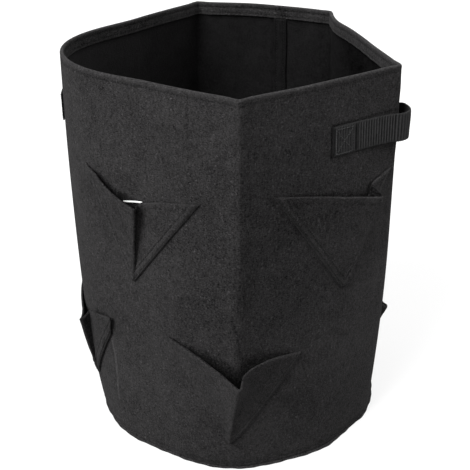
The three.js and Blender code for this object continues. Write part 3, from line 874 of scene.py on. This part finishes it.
def patch_stitch_line(distance, target, from_left, near, front, normals):
    """Points and normals on a patch at a set distance from one sewn edge, a point for each row."""
    points, ups = [], []
    columns = np.arange(distance.shape[1])
    order = columns if from_left else columns[::-1]
    for i in range(len(distance)):
        found = np.searchsorted(np.maximum.accumulate(distance[i][order]), target)
        if found == 0 or found >= len(order) // 2 or near[i].max() < target * 1.15:
            continue
        a, b = order[found - 1], order[found]
        mix = (target - distance[i, a]) / max(distance[i, b] - distance[i, a], 1e-6)
        mix = float(np.clip(mix, 0, 1))
        points.append(front[i, a] * (1 - mix) + front[i, b] * mix)
        ups.append(normals[i, a])
    return points, ups


def patch_lines(u, z, left, right, below, middle, seen):
    """Relief and tone of a patch's folded edges, grooves, puckers and soft waves."""
    near = np.minimum(left, right)
    band = 0.6 * (1 - smoothstep((near - BAND_WIDTH) / 1.6)) * seen
    grooves = 0.55 * sum(bell(near - d, 0.8) for d in BAND_STITCHES) * seen
    mouth_groove = 0.4 * bell(below - MOUTH_BAND, 0.9) * smoothstep((near - 4) / 4)
    mouth_band = 0.3 * (1 - smoothstep((below - MOUTH_BAND) / 2)) * smoothstep(near / 6)
    along = np.where(left < right, 1, -1) * below
    pucker = 0.3 * np.sin(along / 5.1 + middle) * bell(near - 10, 7)
    soft = 0.6 * np.sin(u / 17 + middle) * np.sin(z / 13 + 1) * smoothstep((near - 8) / 20)
    lines = band - grooves + mouth_band - mouth_groove + pucker + soft
    # Painted light on the folded band and along the mouth's edge, painted shade in the stitched grooves
    tone = 0.2 * band - 0.55 * grooves - 0.5 * mouth_groove + 0.1 * np.exp(-below / 1.2)
    return lines, tone


def pocket(name, middle, row, mouth, tip_across, tip_drop):
    """A patch that runs from its mouth's curve to its tip, sewn down along both sides."""
    gaping = mouth is GAPING
    per_degree = length_per_degree(middle, row)
    tip_u, tip_z = tip_across * POCKET_WIDTH / 2, row - tip_drop * POCKET_DEPTH
    stations = [(a * POCKET_WIDTH / 2, row - d * POCKET_DEPTH, o * POCKET_DEPTH) for a, d, o in mouth]
    line = path_of(stations, PATCH_STEP)
    line = np.stack([smoothed(line[:, k], 2) for k in range(3)], -1)
    shares = PATCH_TIP + (1 - PATCH_TIP) * np.linspace(0, 1, PATCH_ROWS)
    s = shares[:, None]
    u = tip_u + (line[None, :, 0] - tip_u) * s
    z = tip_z + (line[None, :, 1] - tip_z) * s
    softening = FOLD_SOFTENING if gaping else 0
    reaches = [min(20, int(round(softening * (1 - share) / share))) + 1 for share in shares]
    out = np.array([smoothed(line[:, 2], reach) * share for share, reach in zip(shares, reaches)])
    azimuth = middle + u / per_degree
    left, right = (edge_distance(u, z, (tip_u, tip_z), line[end]) for end in (0, -1))
    near = np.minimum(left, right)
    below = (1 - s) * np.hypot(line[None, :, 0] - tip_u, line[None, :, 1] - tip_z)
    seen = np.where((left < right) & gaping, 0.1, 1.0)
    lines, tone = patch_lines(u, z, left, right, below, middle, seen)
    skin = off_wall(azimuth, z, CLEARANCE + 0 * out)
    skin += away_from_wall(azimuth, z, LEAN_STEP) * out[..., None]
    from_edge = smoothstep(near / EDGE_REACH)
    thickness = EDGE_THICKNESS + (CLOTH - EDGE_THICKNESS) * from_edge
    front = skin + grid_normals(skin) * (thickness + lines * from_edge)[..., None]
    # The patch carries the wall's painted light and shade
    tone = tone + relief(azimuth, z)[1]
    # Painted light on the right side of the gaping pocket's fold and painted shade on its left
    if gaping:
        deepest = line[np.argmax(line[:, 2])]
        off_fold = u - (tip_u + (deepest[0] - tip_u) * s)
        sides = np.tanh(off_fold / 2) * np.exp(-np.abs(off_fold) / 16) * smoothstep((1 - s) * 5)
        tone = tone + FACET_TONE * sides
    # Painted shade on the faces of a tuck that turn inward
    tone = tone - TUCK_SHADES.get(name, USUAL_TUCK) * returns_behind(line, s)
    # Painted shade on the patch's back, painted lighter on the lower left pocket
    shaded_inside = 0 * tone - PATCH_BACK_SHADES.get(name, USUAL_PATCH_BACK_SHADE)
    # Painted shade on the patch's cut edge
    piece = cloth_body(name + "_felt", front, skin, felt, tone, shaded_inside, bulge=0.5, edge_light_and_shade=-0.4)
    settle(piece, "felt", name)
    edges = [(right, False)] if gaping else [(left, True), (right, False)]
    normals = grid_normals(front)
    stitches(name + "_stitches", [
        patch_stitch_line(distance, target, from_left, near, front, normals)
        for distance, from_left in edges for target in BAND_STITCHES
    ])


def handle(name, way):
    """Ribbed webbing along its way round the wall, with a stitched box and cross at both ends."""
    way = np.array(way, float)
    path = np.stack([way[:, 0] * math.radians(BASE_RADIUS), 0 * way[:, 0], way[:, 1] * HANDLE_SLACK], -1)
    line = path_of(path, STRAP_STEP)
    azimuth = line[:, 0] / math.radians(BASE_RADIUS)
    out = smoothed(line[:, 2], 22)
    across = np.linspace(-0.5, 0.5, STRAP_COLUMNS)
    z = HEIGHT - HANDLE_DROP + across[:, None] * WEBBING_WIDTH + 0 * azimuth[None, :]
    if name == "handle_right":
        z = z - LOOP_DROOP * smoothstep((azimuth - 66) / 8) * smoothstep((101 - azimuth) / 12)
    skin = off_wall(azimuth[None, :] + 0 * z, z, CLEARANCE + out[None, :] + 0 * z)
    middle_line = skin[STRAP_COLUMNS // 2]
    run = np.concatenate([[0], np.cumsum(np.linalg.norm(np.diff(middle_line, axis=0), axis=1))])
    inner = smoothstep((0.47 - np.abs(across)) / 0.03)[:, None]
    rib = RIB_DEPTH * np.cos(2 * math.pi * run / RIB_PITCH)[None, :] * inner
    edge = 0.14 * smoothstep((np.abs(across) - 0.45) / 0.03)[:, None]
    weave = 0.06 * np.cos(np.arange(STRAP_COLUMNS) * math.pi)[:, None] * np.sign(rib)
    front = skin + grid_normals(skin) * (WEBBING_THICKNESS - 0.3 + rib - edge + weave)[..., None]
    ends = np.minimum(run, run[-1] - run)
    # Painted light on the ribs' crests and painted shade in their troughs, weaker where the webbing is sewn
    # down; painted shade at the webbing's ends, and a darker line where its sewn length stops
    rib_light_and_shade = 2.4 - 1.5 * smoothstep((SEWN_LENGTH + 5 - ends) / 3)
    tone = rib_light_and_shade[None, :] * rib - 0.85 * bell(ends, 1.3)[None, :]
    tone = tone - 0.9 * bell(ends - SEWN_LENGTH, 1.5)[None, :] * inner
    # Painted highlight along the lower edge and painted shade along the upper edge
    lit_edge, shaded_edge = (smoothstep((side * across - 0.44) / 0.03)[:, None] for side in (-1, 1))
    tone = tone + 0.5 * lit_edge - 0.5 * shaded_edge
    # Painted shade on the webbing's rounded edge
    piece = cloth_body(name + "_webbing", front, skin, webbing, tone, 0 * tone, bulge=0.25, edge_light_and_shade=-0.3)
    settle(piece, "webbing", name)
    normals = grid_normals(front)

    def seam(start, end):
        """A straight row for stitches on the webbing, between two places: along, across."""
        points, ups = [], []
        for t in np.linspace(0, 1, 40):
            along, share = (a + (b - a) * t for a, b in zip(start, end))
            column = int(np.interp(along, run, np.arange(len(run))))
            row = int((share + 0.5) * (STRAP_COLUMNS - 1))
            points.append(front[row, column])
            ups.append(normals[row, column])
        return points, ups

    rows = []
    for first, second in ((BOX_START, BOX_END), (run[-1] - BOX_END, run[-1] - BOX_START)):
        low_first, high_first = (first, -BOX_HALF), (first, BOX_HALF)
        low_second, high_second = (second, -BOX_HALF), (second, BOX_HALF)
        rows += [
            seam(low_first, low_second), seam(low_second, high_second),
            seam(high_second, high_first), seam(high_first, low_first),
            seam(low_first, high_second), seam(high_first, low_second),
        ]
    stitches(name + "_stitches", rows, pitch=2.6, length=2.2, radius=0.4, lift=0.2,
             material=webbing_thread, slot="webbing")


def white_tab():
    """A thin bright strip with tapered ends in the mouth of the upper left pocket."""
    _, middle, row = POCKETS[0][:3]
    stations = [(a * POCKET_WIDTH / 2, row - d * POCKET_DEPTH, 0) for a, d in TAB_ENDS]
    line = path_of(stations, 0.8)
    line = np.stack([smoothed(line[:, k], 6) for k in range(3)], -1)
    across = np.linspace(-1, 0, 7)
    azimuth = middle + line[None, :, 0] / length_per_degree(middle, row) + 0 * across[:, None]
    from_start = np.linspace(0, 1, len(line))
    taper = smoothstep(np.minimum(from_start, 1 - from_start) / 0.12)
    z = line[None, :, 1] + across[:, None] * TAB_HEIGHT * (0.35 + 0.65 * taper)[None, :]
    skin = off_wall(azimuth, z, CLEARANCE + 0 * z)
    front = skin + grid_normals(skin) * TAB_THICKNESS
    piece = cloth_body("white_tab_tape", front, skin, tape, 0 * z, 0 * z, bulge=0.15)
    settle(piece, "white_tape", "white_tab")


def hem_stitches():
    """The stitch lines round the rim, outside and inside, and round the foot."""
    columns = np.arange(0, 360.3, 0.3)
    z = np.full(len(columns), HEM_STITCHES)
    outside = off_wall(columns, z, -0.35)
    stitches("hem_stitches_outer", [(outside, off_wall(columns, z, 0.65) - outside)], lift=0.1)
    inside = off_wall(columns, z, 0.5 - HEM_INSET)
    stitches("hem_stitches_inner", [(inside, off_wall(columns, z, -0.5 - HEM_INSET) - inside)], lift=0.1)
    z = np.full(len(columns), BASE_STITCHES)
    foot = off_wall(columns, z, -0.5)
    stitches("base_stitches", [(foot, off_wall(columns, z, 0.5) - foot)])


bag_wall()
bag_base()
back_seam()
for entry in POCKETS:
    pocket(*entry)
for entry in HANDLES:
    handle(*entry)
white_tab()
hem_stitches()

# Stage, light and camera

FLOOR_HALF = 12.0
FLOOR_LEVEL = -0.0005
PAPER_SHADE = (0.25, 0.25, 0.25, 1)
PAPER_GLOW = 0.74

# The sky's strength rises with the height that is looked towards, from low to high
SKY_RISE = (("From Min", -0.4), ("From Max", 0.7), ("To Min", 0.22), ("To Max", 0.9))

floor_mesh = bpy.data.meshes.new("floor")
corners = [(x * FLOOR_HALF, y * FLOOR_HALF, FLOOR_LEVEL) for x, y in ((-1, -1), (1, -1), (1, 1), (-1, 1))]
floor_mesh.from_pydata(corners, [], [(0, 1, 2, 3)])
floor = bpy.data.objects.new("floor", floor_mesh)
bpy.context.scene.collection.objects.link(floor)
paper = bpy.data.materials.new("paper")
paper.use_nodes = True
paper_shader = paper.node_tree.nodes["Principled BSDF"]
paper_shader.inputs["Base Color"].default_value = PAPER_SHADE
paper_shader.inputs["Roughness"].default_value = 0.9
paper_shader.inputs["Emission Color"].default_value = (1, 1, 1, 1)
paper_shader.inputs["Emission Strength"].default_value = PAPER_GLOW
floor_mesh.materials.append(paper)
floor.visible_diffuse = False
floor.visible_glossy = False

scene = bpy.context.scene
scene.view_settings.view_transform = "Standard"
scene.view_settings.look = "None"

world = bpy.data.worlds.new("studio")
world.use_nodes = True
sky = world.node_tree
up = sky.nodes.new("ShaderNodeTexCoord").outputs["Generated"]
parts = sky.nodes.new("ShaderNodeSeparateXYZ")
sky.links.new(up, parts.inputs[0])
rise = sky.nodes.new("ShaderNodeMapRange")
rise.interpolation_type = "SMOOTHSTEP"
for key, value in SKY_RISE:
    rise.inputs[key].default_value = value
sky.links.new(parts.outputs["Z"], rise.inputs["Value"])
sky.nodes["Background"].inputs["Color"].default_value = (1, 1, 1, 1)
sky.links.new(rise.outputs["Result"], sky.nodes["Background"].inputs["Strength"])
scene.world = world


def sun(name, azimuth, elevation, spread, strength):
    """A sun that shines from a height in degrees; its spread softens its shadows."""
    light = bpy.data.lights.new(name, "SUN")
    light.angle, light.energy = math.radians(spread), strength
    lamp = bpy.data.objects.new(name, light)
    lamp.rotation_euler = (math.radians(90 - elevation), 0, math.radians(azimuth))
    scene.collection.objects.link(lamp)


# Suns: name, azimuth, height in degrees, spread in degrees, strength
SUNS = [("key", -50, 42, 35, 4.2), ("fill", 105, 32, 60, 1.0)]
for entry in SUNS:
    sun(*entry)

# The photo's camera, as fitted to the base and the rim
LENS = 64.218
SENSOR = 36
CAMERA_PLACE = (-0.00363, -0.89474, 0.70319)
CAMERA_TILT = 61.17

camera_data = bpy.data.cameras.new("camera")
camera_data.lens = LENS
camera_data.sensor_width = SENSOR
camera = bpy.data.objects.new("camera", camera_data)
camera.location = CAMERA_PLACE
camera.rotation_euler = (math.radians(CAMERA_TILT), 0, 0)
scene.collection.objects.link(camera)
scene.camera = camera
